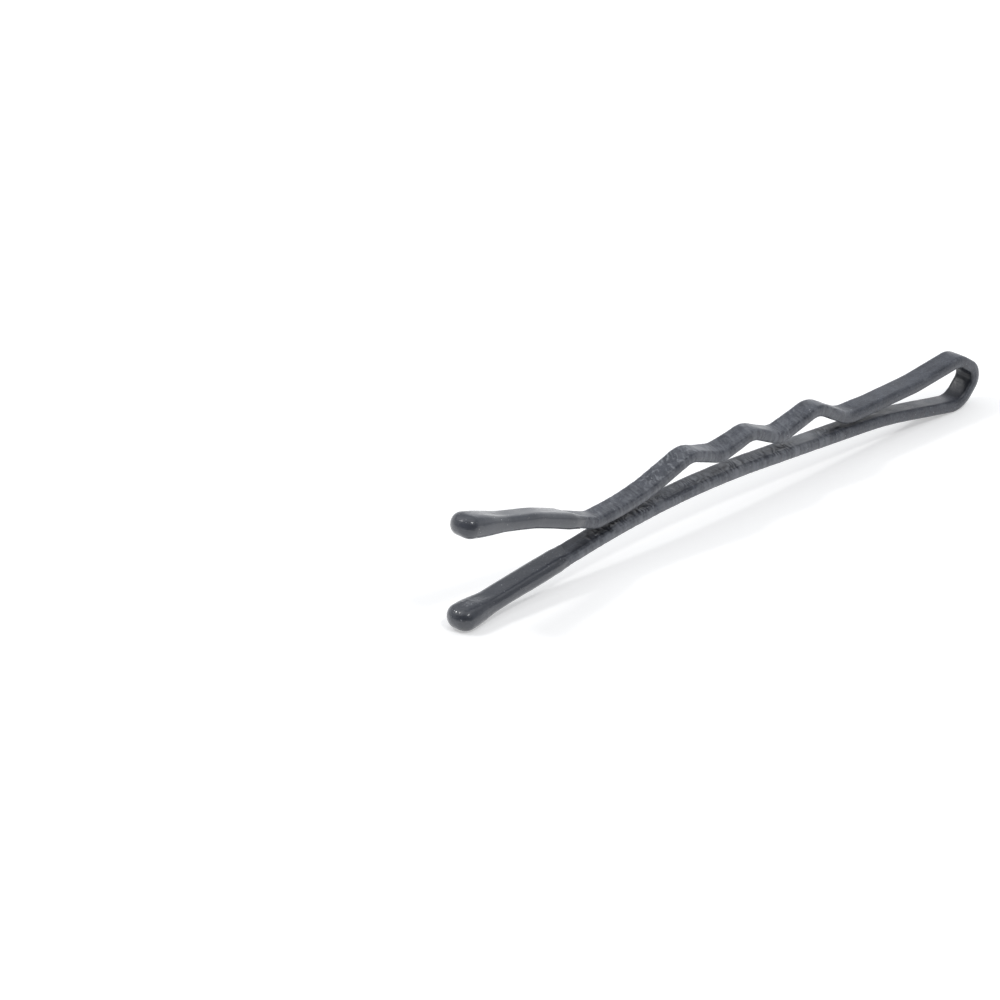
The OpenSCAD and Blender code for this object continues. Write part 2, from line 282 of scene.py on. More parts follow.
@dataclass
class FormedStrip:
    """The strip and its forming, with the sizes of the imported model.

    Only the last two troughs and the upper shoulder are rounder here, and the last
    crest is 0.04 mm higher, as the real ones are.

    Attributes hold millimetres. A lead is a distance from the feature before, a gap
    is the clear space over the straight leg, and a back is measured from the loop's
    end. A triple holds a station or lead, a height, gap or drop, and a radius, and a
    pair holds a lead and a gap, or a back or lift and a radius.
    """

    length: float = 50.0
    width: float = 1.6
    thickness: float = 0.82
    edge_radius: float = 0.25
    lacquer: float = 0.05
    arch: Triple = (22.4, 2.8, 82.0)
    heel_lead: float = 4.4
    heel_height: float = 1.7
    heel_radius: float = 36.0
    tip_spread: float = 6.35
    tip_setback: float = 0.3
    bow: Triple = (5.6, 3.2, 12.0)
    bend: Triple = (12.9, 0.55, 1.9)
    rise: Triple = (3.7, 0.4, 20.0)
    crest_radius: float = 1.9
    crests: tuple[Pair, ...] = ((8.6, 1.65), (2.65, 1.45), (3.25, 1.54))
    troughs: tuple[Triple, ...] = (
        (3.1, 0.8, 2.2), (3.1, 0.6, 1.9), (3.95, 0.25, 2.7))
    loop_height: float = 3.95
    upper_shoulder: Pair = (2.25, 1.35)
    nose: Pair = (0.08, 0.95)
    lower_shoulder: Pair = (2.4, 1.8)
    limb: Triple = (1.3, 0.44, 14.0)
    flex_back: float = 5.0
    bead_flat: float = 0.37
    bead_side: float = 0.325
    bead_round: float = 0.9
    end_cover: float = 0.5
    twist: Triple = (0.2, 0.1, 0.1)
    twist_reach: float = 2.2

    @property
    def bead_thickness(self) -> float:
        """Thickness of a bead."""
        return self.thickness + 2 * self.bead_flat

    @property
    def bead_width(self) -> float:
        """Width of a bead."""
        return self.width + 2 * self.bead_side

    @property
    def flex_at(self) -> float:
        """Station at which the legs flex."""
        return self.length - self.flex_back

    def section(self, steps: Steps) -> Section:
        """The bare strip's section, with so many steps on each corner, flat and side."""
        return Section.divided(steps, self.width, self.thickness, self.edge_radius)

    def loop_pins(self) -> list[Array]:
        """The loop's pins, from the lower shoulder over the end to the upper one."""
        half = self.thickness / 2
        back, radius = self.lower_shoulder
        lower = np.array([self.length - back, half + radius, radius])
        lift, radius = self.nose
        nose = np.array([self.length - half - radius, self.loop_height / 2 + lift, radius])
        back, radius = self.upper_shoulder
        upper = np.array([self.length - back, self.loop_height - half - radius, radius])
        return [lower, nose, upper]

    def straight_pins(self) -> list[Array]:
        """The straight leg's pins, from the middle of its bead's end to the heel."""
        tip = np.array([self.bead_round, self.bead_thickness / 2, 0.0])
        at, height, radius = self.arch
        arch = np.array([at, height - radius, -radius])
        lower = self.loop_pins()[0]
        corner = np.array([self.flex_at - self.heel_lead, self.heel_height, 0.0])
        return [tip, arch, soft_pin(arch, corner, lower, self.heel_radius)]

    def crimped_pins(self, straight: Line) -> list[Array]:
        """The crimped leg's pins, from the middle of its bead's end to the limb.

        Args:
            straight: Centre line of the straight leg, which the gaps start from.

        Returns:
            The pins.
        """

        def over(x: float, gap: float, radius: float = 0.0) -> Array:
            """A pin that leaves this clear space under the strip."""
            leg = float(np.interp(x, straight.place[:, 0], straight.place[:, 1]))
            return np.array([x, leg + self.thickness + gap + radius, radius])

        tip = np.array([self.bead_round + self.tip_setback,
                        self.bead_thickness / 2 + self.tip_spread, 0.0])
        bend, crimps = over(*self.bend), []
        x = at = self.bend[0]
        for (crest_lead, crest_gap), (lead, gap, radius) in zip(self.crests, self.troughs):
            x += crest_lead
            crimps.append(over(x, crest_gap, -self.crest_radius))
            x += lead
            crimps.append(over(x, gap, radius))
        lead, gap, radius = self.bow
        bow = soft_pin(tip, over(at - lead, gap), bend, radius)
        lead, gap, radius = self.rise
        rise = soft_pin(bend, over(at + lead, gap), crimps[0], radius)
        upper = self.loop_pins()[2] * np.array([1.0, 1.0, -1.0])
        lead, drop, radius = self.limb
        corner = np.array([self.flex_at - lead, self.loop_height - self.thickness / 2 - drop, 0.0])
        return [tip, bow, bend, rise, *crimps, soft_pin(crimps[-1], corner, upper, radius)]

    def line_round(self, pins: list[Array], pitch: float) -> Line:
        """The centre line that touches a row of pins.

        Straight stretches and arcs follow each other, and rings stand about a pitch
        apart on both.

        Args:
            pins: The pins, of which the first is a plain point.
            pitch: Distance between rings.

        Returns:
            The line.
        """
        headings = [link(a, b) for a, b in zip(pins, pins[1:])]
        places, turns = [pins[0][None, :2]], [np.array([headings[0]])]
        for k in range(1, len(pins)):
            pin, heading = pins[k], headings[k - 1]
            start, end = places[-1][-1], touch(pin, heading)
            steps = max(1, math.ceil(math.dist(start, end) / pitch))
            share = np.linspace(0, 1, steps + 1)[1:, None]
            places.append(start + (end - start) * share)
            turns.append(np.full(steps, heading))
            if k == len(pins) - 1:
                break
            turn = wrapped(headings[k] - heading)
            steps = max(1, math.ceil(abs(turn * pin[2]) / pitch))
            sweep = heading + turn * np.linspace(0, 1, steps + 1)[1:]
            places.append(pin[:2] - pin[2] * np.stack([-np.sin(sweep), np.cos(sweep)], axis=1))
            turns.append(sweep)
            headings[k] = heading + turn
        place, heading = np.concatenate(places), np.concatenate(turns)
        along = np.concatenate([[0.0], np.cumsum(np.hypot(*np.diff(place, axis=0).T))])
        return Line(place, heading, along)

    def line(self, pitch: float) -> Line:
        """The whole centre line, from the straight tip round the loop to the crimped tip.

        The strip starts and ends inside its beads, the end cover behind their ends.

        Args:
            pitch: Distance between rings.

        Returns:
            The line, whose left-hand side is the inside of the pin.
        """
        straight, loop = self.straight_pins(), self.loop_pins()
        flip = np.array([1.0, 1.0, -1.0])
        crimped = self.crimped_pins(self.line_round([*straight, loop[0]], pitch))
        pins = [*straight, *loop, *[pin * flip for pin in reversed(crimped)]]
        short = self.bead_round - self.end_cover
        for end, first, second, outward in ((0, 0, 1, -1), (-1, -2, -1, 1)):
            heading = link(pins[first], pins[second])
            step = outward * short * np.array([math.cos(heading), math.sin(heading)])
            pins[end] = np.array([*(pins[end][:2] + step), 0.0])
        return self.line_round(pins, pitch)

    def twisted(self, section: Array, line: Line, turn: int) -> Array:
        """Tips the strip at each trough, where the crimping jaws left its far edge higher.

        The far edge rises by that trough's twist times the square of 1 - t^2, where t
        is the distance from the trough over the twist's reach, and the rise grows
        evenly from the near edge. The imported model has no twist.

        Args:
            section: Places [ring, place, (across, up)].
            line: The whole centre line.
            turn: Ring at the loop's end, behind which the crimped leg comes.

        Returns:
            The tipped places.
        """
        leads = [(crest[0], trough[0]) for crest, trough in zip(self.crests, self.troughs)]
        troughs = self.bend[0] + np.cumsum(leads)[1::2]
        away = (line.place[:, :1] - troughs) / self.twist_reach
        bell = (np.clip(1 - away ** 2, 0, 1) ** 2 * self.twist).max(axis=1)
        bell[:turn + 1] = 0.0
        share = np.clip(0.5 + section[..., 0] / self.width, 0, 1)
        up = section[..., 1] - bell[:, None] * share
        return np.stack([section[..., 0], up], axis=-1)


def make_piece(name: str, points: Array, along: Array, around: Array,
               relief_and_shading: Array | None = None) -> Object:
    """Makes a closed piece from rings of points.

    Four neighbours on the grid make a face, the grid closes round the section, and a
    flat fan from each end ring's middle closes the ends. The UV map holds real distances
    in millimetres, along the piece and round it.

    Args:
        name: Name of the piece.
        points: Points [ring, place, (x, y, z)] in metres.
        along: Distance of each ring along the piece.
        around: Distance of each place round the section, with the whole round last.
        relief_and_shading: Tone at each ring and place, from -1 to 1, with painted light and shade,
            for a finish to read.

    Returns:
        The piece, at the origin.
    """
    rings, sides = points.shape[:2]
    ends = points[[0, -1]].mean(axis=1)
    vertices = np.concatenate([points.reshape(-1, 3), ends])
    i, j = np.meshgrid(np.arange(rings - 1), np.arange(sides), indexing="ij")
    k = (j + 1) % sides
    quads = np.stack([i * sides + j, i * sides + k, (i + 1) * sides + k, (i + 1) * sides + j], -1)
    low, high = np.arange(sides), (rings - 1) * sides + np.arange(sides)
    first, last = rings * sides, rings * sides + 1
    start = np.stack([np.roll(low, -1), low, np.full(sides, first)], axis=-1)
    end = np.stack([high, np.roll(high, -1), np.full(sides, last)], axis=-1)
    loops = np.concatenate([quads.reshape(-1), start.reshape(-1), end.reshape(-1)])
    counts = np.concatenate([np.full(quads.size // 4, 4), np.full(2 * sides, 3)])
    mesh = bpy.data.meshes.new(name)
    mesh.vertices.add(len(vertices))
    mesh.vertices.foreach_set("co", vertices.astype(np.float32).ravel())
    mesh.loops.add(len(loops))
    mesh.loops.foreach_set("vertex_index", loops.astype(np.int32))
    mesh.polygons.add(len(counts))
    starts = np.concatenate([[0], np.cumsum(counts)[:-1]])
    mesh.polygons.foreach_set("loop_start", starts.astype(np.int32))
    mesh.polygons.foreach_set("use_smooth", counts == 4)
    here, there = along[i], along[i + 1]
    near, far = around[j], around[j + 1]
    wall = np.stack([here, near, here, far, there, far, there, near], axis=-1).reshape(-1, 2)
    lid = np.stack([around[1:], around[:-1], around[:-1]], axis=-1).reshape(-1)
    lids = [np.stack([np.full(lid.size, along[e]), lid], axis=-1) for e in (0, -1)]
    uv = mesh.uv_layers.new(name="strip_mm")
    uv.data.foreach_set("uv", np.concatenate([wall, *lids]).astype(np.float32).ravel())
    # The tone, with its painted light and shade, goes to the finish as an attribute.
    if relief_and_shading is not None:
        shares = np.append(relief_and_shading.ravel(), [0.0, 0.0]).astype(np.float32)
        mesh.attributes.new("relief_and_shading", "FLOAT", "POINT").data.foreach_set("value", shares)
    mesh.update(calc_edges=True)
    mesh.validate()
    piece = bpy.data.objects.new(name, mesh)
    bpy.context.scene.collection.objects.link(piece)
    return piece


# Relief


# More lattice steps than the finest layer takes along the strip.
LATTICE_LENGTH = 997


def eased(amount: float, share: Array) -> Array:
    """A weight of 1 that loses an amount as the share falls from 1 to 0."""
    return (1 - amount) + amount * share


@dataclass(frozen=True)
class Layer:
    """A layer of noise on the strip.

    Attributes:
        seed: Seed of its random values.
        pitch: Size of its features in millimetres, along the strip and round it.
        height: Its height in millimetres, or its share where it weighs another layer.
    """

    seed: int
    pitch: Pair
    height: float = 1.0

    def noise(self, along: Array, section: Section, lean: Array | float = 0.0) -> Array:
        """Lattice noise with this pitch.

        Args:
            along: Distance of each ring.
            section: The strip's section.
            lean: Distance that each place is moved along, which slants the features.

        Returns:
            Heights between -1 and 1 [ring, place].
        """
        whole = section.around[-1]
        steps = max(3, round(whole / self.pitch[1]))
        u = (along[:, None] + lean) / self.pitch[0]
        v = section.around[None, :-1] * steps / whole
        return lattice_noise(u, v, (LATTICE_LENGTH, steps), self.seed)


@dataclass
class LacquerRelief:
    """The height of the baked lacquer over a smooth strip, in millimetres.

    The rolls leave the strip's sides slightly crowned and streaked from face to
    face. Baked lacquer shrinks as it cures: it lies smooth on the loop, ridges where
    the crimped leg rises to its first crest, and creases across the inside of the
    straight leg. Its edges wear through here and there. Pitches are the real ones, but
    the heights are two to three times real, so that they show at the photograph's
    distance. The tone that goes with the heights holds painted light and shade as well
    as the wear.

    A stretch such as ridged is the stations where a layer starts and ends, and the
    length of its fades. A lean is the shift along for each millimetre across, a
    sharpness, softness or power is an exponent, and a tone is added to the height's
    share or taken from it.
    """

    full: float = 0.026
    crown: float = 0.035
    handled: Triple = (9.0, 36.0, 5.0)
    calm_loop: float = 0.9
    peel: Layer = Layer(3, (0.5, 0.4), 0.005)
    streak: Layer = Layer(5, (0.15, 2.4), 0.009)
    streak_patches: Layer = Layer(7, (0.9, 2.2), 0.35)
    brushing: Layer = Layer(9, (0.12, 0.7), 0.006)
    brushing_lean: float = 0.2
    ridge: Layer = Layer(11, (0.2, 0.5), 0.055)
    ridge_grain: Layer = Layer(13, (0.13, 0.22), 0.45)
    ridge_lean: float = 0.5
    ridge_sharpness: int = 8
    ridge_base: float = 0.1
    ridged: Triple = (17.4, 22.0, 3.2)
    faintly_ridged: Triple = (13.0, 38.0, 3.0)
    faint: float = 0.2
    crease_and_shade: Layer = Layer(19, (0.2, 0.75), 0.085)
    crease_sway: Layer = Layer(17, (0.5, 0.4), 0.14)
    crease_patches: Layer = Layer(21, (1.4, 1.2), 0.45)
    crease_lean: float = -0.4
    crease_softness: float = 0.6
    crease_near: float = 0.6
    crease_edge: float = 0.6
    crease_held: float = 0.2
    creased_and_shaded: tuple[Triple, ...] = ((11.6, 31.4, 1.4), (34.0, 36.6, 1.4))
    nick: Layer = Layer(29, (0.15, 0.2), 0.018)
    wear: Layer = Layer(31, (1.1, 1.0), 0.9)
    wear_grain: Layer = Layer(33, (0.14, 0.3), 0.4)
    wear_power: float = 1.5
    # Painted light: how much paler the legs' sides and outer faces, and the straight leg's inside, are
    # drawn, as light falls on them.
    sheen_and_rubbing: float = 0.26
    painted_light_straight: float = 0.6
    painted_light_out: float = 0.6
    painted_light_in: float = 0.3
    # A painted reflection: a paler patch on the straight leg's inside face.
    reflection_patch: Triple = (31.3, 34.0, 1.8)
    reflection_tone: float = 0.65
    # Painted shade on the inside faces of the loop.
    inner_shade: Triple = (47.9, 60.0, 1.8)
    inner_shade_tone: float = 1.0
    # Painted shadow of the crimped leg's dip on the straight leg's inside face.
    dip_shadow: Triple = (10.0, 15.0, 2.0)
    dip_shadow_tone: float = 0.6
    loop_tone: float = 0.12

    def bulge(self, section: Section) -> Array:
        """Crown of the sides at each place, a parabola from corner to corner."""
        edge_on = np.cos(section.angle) ** 2
        return self.crown * edge_on * (1 - (section.up * np.abs(np.cos(section.angle))) ** 2)

    def surface(self, line: Line, turn: int, section: Section,
                half_width: float) -> tuple[Array, Array]:
        """Height and tone of the lacquer at each ring and place.

        The height is the sum of the layers, each a noise weighed by the faces and
        stations on which it lies. The tone is the height over the full height, which paints
        shade into the hollows and light onto what stands proud. To it are added wear on the
        corners and painted light on the legs' sides and faces, with a painted reflection on
        the straight leg's inside. Painted shade is taken off inside the loop and under the
        crimped dip, and a little off the whole loop.

        Args:
            line: The whole centre line.
            turn: Ring at the loop's end, where the line turns back.
            section: The strip's section.
            half_width: Half the strip's width.

        Returns:
            Heights, and tones between -1 for the deepest and 1 for the palest, both
            [ring, place].
        """
        along, station = line.along, line.place[:, :1]
        straight = (np.arange(len(along)) < turn)[:, None]
        facing_in = np.clip(np.sin(section.angle), 0, 1)[None] ** 2
        facing_out = np.clip(-np.sin(section.angle), 0, 1)[None] ** 2
        edge_on = np.cos(section.angle)[None] ** 2
        corner = np.sin(2 * section.angle)[None] ** 2
        across = (section.across * half_width)[None]
        legs = eased(self.calm_loop, window(station, *self.handled))
        noise = partial(Layer.noise, along=along, section=section)

        peel = self.peel.height * noise(self.peel)

        strong = eased(self.streak_patches.height, noise(self.streak_patches))
        streak = self.streak.height * noise(self.streak) * edge_on * strong * legs
        brushed = noise(self.brushing, lean=self.brushing_lean * across)
        brushing = self.brushing.height * brushed * facing_out * legs

        net = 1 - np.abs(noise(self.ridge, lean=self.ridge_lean * across))
        grain = eased(self.ridge_grain.height, noise(self.ridge_grain))
        thin = net ** self.ridge_sharpness * grain - self.ridge_base
        faint = self.faint * window(station, *self.faintly_ridged)
        patch = np.maximum(window(station, *self.ridged), faint) * ~straight
        ridges = self.ridge.height * thin * facing_out * patch

        slant = self.crease_lean * across + self.crease_sway.height * noise(self.crease_sway)
        folds = np.abs(noise(self.crease_and_shade, lean=slant)) ** self.crease_softness
        near = eased(self.crease_near, fade(self.crease_edge - across / half_width))
        patchy = eased(self.crease_patches.height, noise(self.crease_patches))
        creased_and_shaded = sum(window(station, *stretch) for stretch in self.creased_and_shaded) * straight
        crease_and_shade = self.crease_and_shade.height * (folds - 0.5) * near * patchy * facing_in * creased_and_shaded

        nick = -self.nick.height * np.clip(noise(self.nick), 0, 1) * corner ** 2 * legs

        wear_and_sheen = eased(self.wear_grain.height, noise(self.wear_grain))
        wear = self.wear.height * corner ** self.wear_power * np.clip(noise(self.wear), 0, 1) * wear_and_sheen
        # Painted light on the legs: their sides, outer faces and the straight leg's inside are drawn
        # paler.
        faces = edge_on * (1 + self.painted_light_straight * straight) + self.painted_light_out * facing_out
        sheen_and_rubbing = self.sheen_and_rubbing * legs * (faces + self.painted_light_in * facing_in * straight)
        # A painted reflection on the straight leg's inside face.
        smooth = self.reflection_tone * window(station, *self.reflection_patch) * straight * facing_in
        # Painted shade on the inside faces of the loop.
        inner_shade = self.inner_shade_tone * window(station, *self.inner_shade) * facing_in
        # Painted shadow of the crimped leg's dip on the straight leg's inside face.
        inner_shade += self.dip_shadow_tone * window(station, *self.dip_shadow) * straight * facing_in
        height = peel + streak + brushing + ridges + crease_and_shade + nick
        # Painted light and shade: the hollows go darker and what stands proud goes paler.
        tone = (height - self.crease_held * crease_and_shade) / self.full + wear + sheen_and_rubbing + smooth - inner_shade
        tone -= self.loop_tone * (1 - legs)
        return height, np.clip(tone, -1.0, 1.0)


# Finishes


def linear(hex_code: str) -> Quad:
    """An sRGB hex colour, such as #3a3d45, as linear red, green, blue and 1 for opaque."""
    shares = (int(hex_code[k:k + 2], 16) / 255 for k in (1, 3, 5))
    return (*(s / 12.92 if s <= 0.04045 else ((s + 0.055) / 1.055) ** 2.4 for s in shares), 1.0)


def add_node(tree: NodeTree, kind: str, links: dict | None = None, **settings) -> Node:
    """Adds a shader node with its settings and links.

    Args:
        tree: The tree that gets the node.
        kind: The node's type after its prefix, such as Bump.
        links: For an input's name or place, the socket that feeds it or its value.
        **settings: Attributes of the node.

    Returns:
        The node.
    """
    node = tree.nodes.new("ShaderNode" + kind)
    for name, value in settings.items():
        setattr(node, name, value)
    for name, value in (links or {}).items():
        if isinstance(value, NodeSocket):
            tree.links.new(value, node.inputs[name])
        else:
            node.inputs[name].default_value = value
    return node


def emptied(owner: Material | World) -> Adder:
    """Empties the node tree of a material or world.

    Args:
        owner: The material or world.

    Returns:
        The function add_node for this tree.
    """
    owner.use_nodes = True
    owner.node_tree.nodes.clear()
    return partial(add_node, owner.node_tree)


def noises(add: Adder, *kinds: Pair) -> list[NodeSocket]:
    """Noise on Object coordinates, for each size in millimetres and its detail."""
    place = add("TexCoord").outputs["Object"]
    return [add("TexNoise", {"Vector": place, "Scale": 1.0 / (size * MM), "Detail": detail}).outputs[0]
            for size, detail in kinds]


def streaks(add: Adder, size: Pair) -> NodeSocket:
    """Noise on the UV map, with features of this size along the piece and round it."""
    place = add("TexCoord").outputs["UV"]
    drawn = add("Mapping", {"Vector": place, "Scale": (1 / size[0], 1 / size[1], 1.0)})
    return add("TexNoise", {"Vector": drawn.outputs[0], "Scale": 1.0, "Detail": 2.0}).outputs[0]


def mapped(add: Adder, value: NodeSocket, *ends: float | NodeSocket) -> NodeSocket:
    """A value brought from between the first two ends to between the last two."""
    names = ("Value", "From Min", "From Max", "To Min", "To Max")
    return add("MapRange", dict(zip(names, (value, *ends)))).outputs[0]


def mixed(add: Adder, share: NodeSocket, colour: Quad | NodeSocket, other: str) -> NodeSocket:
    """A colour that turns to another, a hex colour, with a share."""
    # Inputs 6 and 7 of the mix node are its colours, and output 2 is the mixed one.
    blend = {0: share, 6: colour, 7: linear(other)}
    return add("Mix", blend, data_type="RGBA").outputs[2]


def bumped(add: Adder, *reliefs: tuple[NodeSocket, float]) -> NodeSocket:
    """The normal over reliefs, each a pattern and its height in millimetres."""
    normal = {}
    for pattern, height in reliefs:
        bump = add("Bump", {"Height": pattern, "Strength": 1.0, "Distance": height * MM, **normal})
        normal = {"Normal": bump.outputs[0]}
    return normal["Normal"]


@dataclass(frozen=True)
class BakedLacquer:
    """Black lacquer, sprayed thin on the formed strip and baked.

    It gives a satin black that greys where light grazes it. The film is thin enough
    to show the rolled edges and its own creases and ridges. The piece's tone attribute,
    relief_and_shading, darkens the colour with painted shade in the creases, inside the
    loop and under the crimped dip, and makes it paler on what stands proud and on the
    legs' faces, which is wear and painted light together. A pixel of the render is
    0.06 mm, so the grain and the dust are drawn about three times coarser than the
    real ones.

    Sizes and heights are in millimetres. A pair such as toned is the noise at which a
    change starts and is full. The ranges creased_and_shaded and sheen_and_rubbing are
    the tones at which a colour starts and is full, then its least and greatest share.
    """

    dark: str = "#3a3d45"
    pale: str = "#5a5e67"
    # The colour of painted shade: in the creases and nicks, inside the loop and under the crimped dip.
    crease_and_shade: str = "#161a23"
    # The colour of corner wear and of painted light: the legs' paler faces, the painted reflection and
    # the lit ridges.
    wear_and_sheen: str = "#96999f"
    speck: str = "#9a9ca2"
    rough: Pair = (0.33, 0.46)
    cloud: float = 0.8
    clouded: Pair = (0.35, 0.65)
    toned: Pair = (0.1, 0.42)
    # The tones at which the painted shade colour, then the colour of wear and painted light, start and
    # are full, with their shares.
    creased_and_shaded: Quad = (-0.1, -0.9, 0.0, 0.85)
    sheen_and_rubbing: Quad = (0.0, 0.9, 0.0, 0.7)
    grain: float = 0.12
    grain_height: float = 0.013
    stria: Pair = (0.13, 1.6)
    stria_height: float = 0.012
    dust: float = 0.16
    dusted: Pair = (0.73, 0.79)

    def make(self) -> Material:
        """Builds the material."""
        material = bpy.data.materials.new("baked_black_lacquer")
        add = emptied(material)
        cloud, grain, dust = noises(add, (self.cloud, 4.0), (self.grain, 2.0), (self.dust, 1.0))
        tone = add("Math", {0: cloud, 1: grain}, operation="MULTIPLY").outputs[0]
        # The piece's tone: painted shade in the hollows, painted light on what stands proud and on the
        # legs' faces, and wear.
        relief_and_shading = add("Attribute", attribute_name="relief_and_shading").outputs["Fac"]
        colour = linear(self.dark)
        for value, marks, shade in (
                (tone, self.toned, self.pale), (relief_and_shading, self.creased_and_shaded, self.crease_and_shade),
                (relief_and_shading, self.sheen_and_rubbing, self.wear_and_sheen), (dust, self.dusted, self.speck)):
            colour = mixed(add, mapped(add, value, *marks), colour, shade)
        rough = mapped(add, cloud, *self.clouded, *self.rough)
        stria = streaks(add, self.stria)
        normal = bumped(add, (grain, self.grain_height), (stria, self.stria_height))
        shader = add("BsdfPrincipled", {
            "Base Color": colour, "Roughness": rough, "IOR": 1.5, "Normal": normal})
        add("OutputMaterial", {"Surface": shader.outputs[0]})
        return material


@dataclass(frozen=True)
class DippedPaint:
    """Thick black paint, in which the tip was dipped and hung to drip and cure.

    It levels before it sets, so it gives the eye a smoother and glossier black than
    the lacquer, and small dimples on the bead break up its highlights. Its grain is
    drawn about three times coarser than real, to show in a pixel of 0.06 mm.

    Sizes and heights are in millimetres. Clouded and dusted are the noise at which the
    paint starts to be rougher or dusty, and is so in full.
    """

    dark: str = "#2f3239"
    pale: str = "#4c505a"
    speck: str = "#9a9ca2"
    rough: Pair = (0.42, 0.54)
    cloud: float = 1.8
    clouded: Pair = (0.35, 0.65)
    dimple: float = 0.32
    dimple_height: float = 0.016
    grain: float = 0.13
    grain_height: float = 0.009
    dust: float = 0.15
    dusted: Pair = (0.73, 0.78)
    coat: Pair = (0.6, 0.11)

    def make(self) -> Material:
        """Builds the material."""
        material = bpy.data.materials.new("dipped_black_paint")
        add = emptied(material)
        cloud, dimple, grain, dust = noises(
            add, (self.cloud, 3.0), (self.dimple, 3.0), (self.grain, 1.0), (self.dust, 1.0))
        colour = linear(self.dark)
        for share, shade in ((cloud, self.pale), (mapped(add, dust, *self.dusted), self.speck)):
            colour = mixed(add, share, colour, shade)
        rough = mapped(add, cloud, *self.clouded, *self.rough)
        normal = bumped(add, (grain, self.grain_height), (dimple, self.dimple_height))
        shader = add("BsdfPrincipled", {
            "Base Color": colour, "Roughness": rough, "IOR": 1.52, "Normal": normal,
            "Coat Weight": self.coat[0], "Coat Roughness": self.coat[1], "Coat Normal": normal})
        add("OutputMaterial", {"Surface": shader.outputs[0]})
        return material


@dataclass(frozen=True)
class RolledSteel:
    """Spring steel, rolled flat from round wire and left bright.

    It gives a plain grey metal with faint lines along it from the rolls. The lacquer
    hides it, so its lines are drawn as coarse as 0.05 mm.
    """

    colour: str = "#c3c5c8"
    rough: Pair = (0.24, 0.38)
    line: Pair = (6.0, 0.05)
    line_height: float = 0.001

    def make(self) -> Material:
        """Builds the material."""
        material = bpy.data.materials.new("rolled_spring_steel")
        add = emptied(material)
        lines = streaks(add, self.line)
        rough = mapped(add, lines, 0.0, 1.0, *self.rough)
        shader = add("BsdfPrincipled", {
            "Base Color": linear(self.colour), "Metallic": 1.0, "Roughness": rough,
            "Normal": bumped(add, (lines, self.line_height))})
        add("OutputMaterial", {"Surface": shader.outputs[0]})
        return material


@dataclass(frozen=True)
class WhiteSweep:
    """Matt white studio board, lit from below.

    It gives the eye a plain ground that is near white and holds the pin's shadow, and
    gloss mirrors it nearly as bright.
    """

    board: str = "#e6e6e6"
    seen: float = 0.42
    mirrored: float = 0.75

    def make(self) -> Material:
        """Builds the material."""
        material = bpy.data.materials.new("matt_white_board")
        add = emptied(material)
        path = add("LightPath").outputs
        gloss = add("Math", {
            0: path["Is Glossy Ray"], 1: path["Is Transmission Ray"]}, operation="MAXIMUM")
        seen = add("Math", {0: path["Is Camera Ray"], 1: self.seen}, operation="MULTIPLY")
        glow = add("Math", {
            0: gloss.outputs[0], 1: self.mirrored, 2: seen.outputs[0]}, operation="MULTIPLY_ADD")
        shader = add("BsdfPrincipled", {
            "Base Color": linear(self.board), "Roughness": 0.9, "Specular IOR Level": 0.0,
            "Emission Color": (1.0, 1.0, 1.0, 1.0), "Emission Strength": glow.outputs[0]})
        add("OutputMaterial", {"Surface": shader.outputs[0]})
        return material


# Sub-assemblies


@dataclass(frozen=True)
class StripLayer:
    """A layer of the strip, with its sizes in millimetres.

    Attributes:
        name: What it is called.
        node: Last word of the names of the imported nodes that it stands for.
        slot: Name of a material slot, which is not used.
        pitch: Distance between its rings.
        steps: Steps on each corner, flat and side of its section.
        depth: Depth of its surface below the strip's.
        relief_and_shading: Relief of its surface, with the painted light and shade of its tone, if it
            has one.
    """

    name: str
    node: str
    slot: str
    pitch: float
    steps: Steps
    depth: float = 0.0
    relief_and_shading: LacquerRelief | None = None


@dataclass
class Strip:
    """The strip: its lacquer skin and its steel core, each in two halves.

    The halves share the ring at the loop's end. The steel ends inside the dipped beads,
    and lies 0.03 mm below the lacquer's inside.
    """

    form: FormedStrip
    lacquer: StripLayer = StripLayer(
        "lacquer", "coat", "black_lacquer", 0.05, (5, 18, 5), relief_and_shading=LacquerRelief())
    steel: StripLayer = StripLayer("steel", "wire", "spring_steel", 0.25, (3, 6, 2), depth=0.08)
    flex_reach: float = 3.5

    def build(self, layer: StripLayer, finish: Material) -> list[Object]:
        """Builds the two halves of a layer.

        The section, smaller by the layer's depth all round, is carried along the whole
        centre line, and the line is divided where it points straight up.

        Args:
            layer: The layer.
            finish: Its material.

        Returns:
            Its halves.
        """
        form = self.form
        line = form.line(layer.pitch)
        turn = int(np.argmin(np.abs(line.heading - math.pi / 2)))
        section = form.section(layer.steps)
        lift, tone = np.zeros((len(line.along), 1)), None
        if layer.relief_and_shading:
            height, tone = layer.relief_and_shading.surface(line, turn, section, form.width / 2)
            lift = height + layer.relief_and_shading.bulge(section)
        cut = section.points(form.width - 2 * layer.depth, form.thickness - 2 * layer.depth,
                             form.edge_radius - layer.depth, lift)
        cut = form.twisted(cut, line, turn)
        points = line.at(line.along[:, None]).carry(cut, form.length / 2)
        halves = []
        for leg, rings in {Leg.STRAIGHT: slice(turn + 1), Leg.CRIMPED: slice(turn, None)}.items():
            piece = make_piece(f"{leg.value}_{layer.name}", points[rings], line.along[rings],
                               section.around, None if tone is None else tone[rings])
            piece.data.materials.append(finish)
            if leg is Leg.STRAIGHT:
                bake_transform(piece)
            else:
                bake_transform(piece)
            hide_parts(f"{leg.value}_{layer.node}", f"loop_{layer.node}")
            halves.append(piece)
        return halves


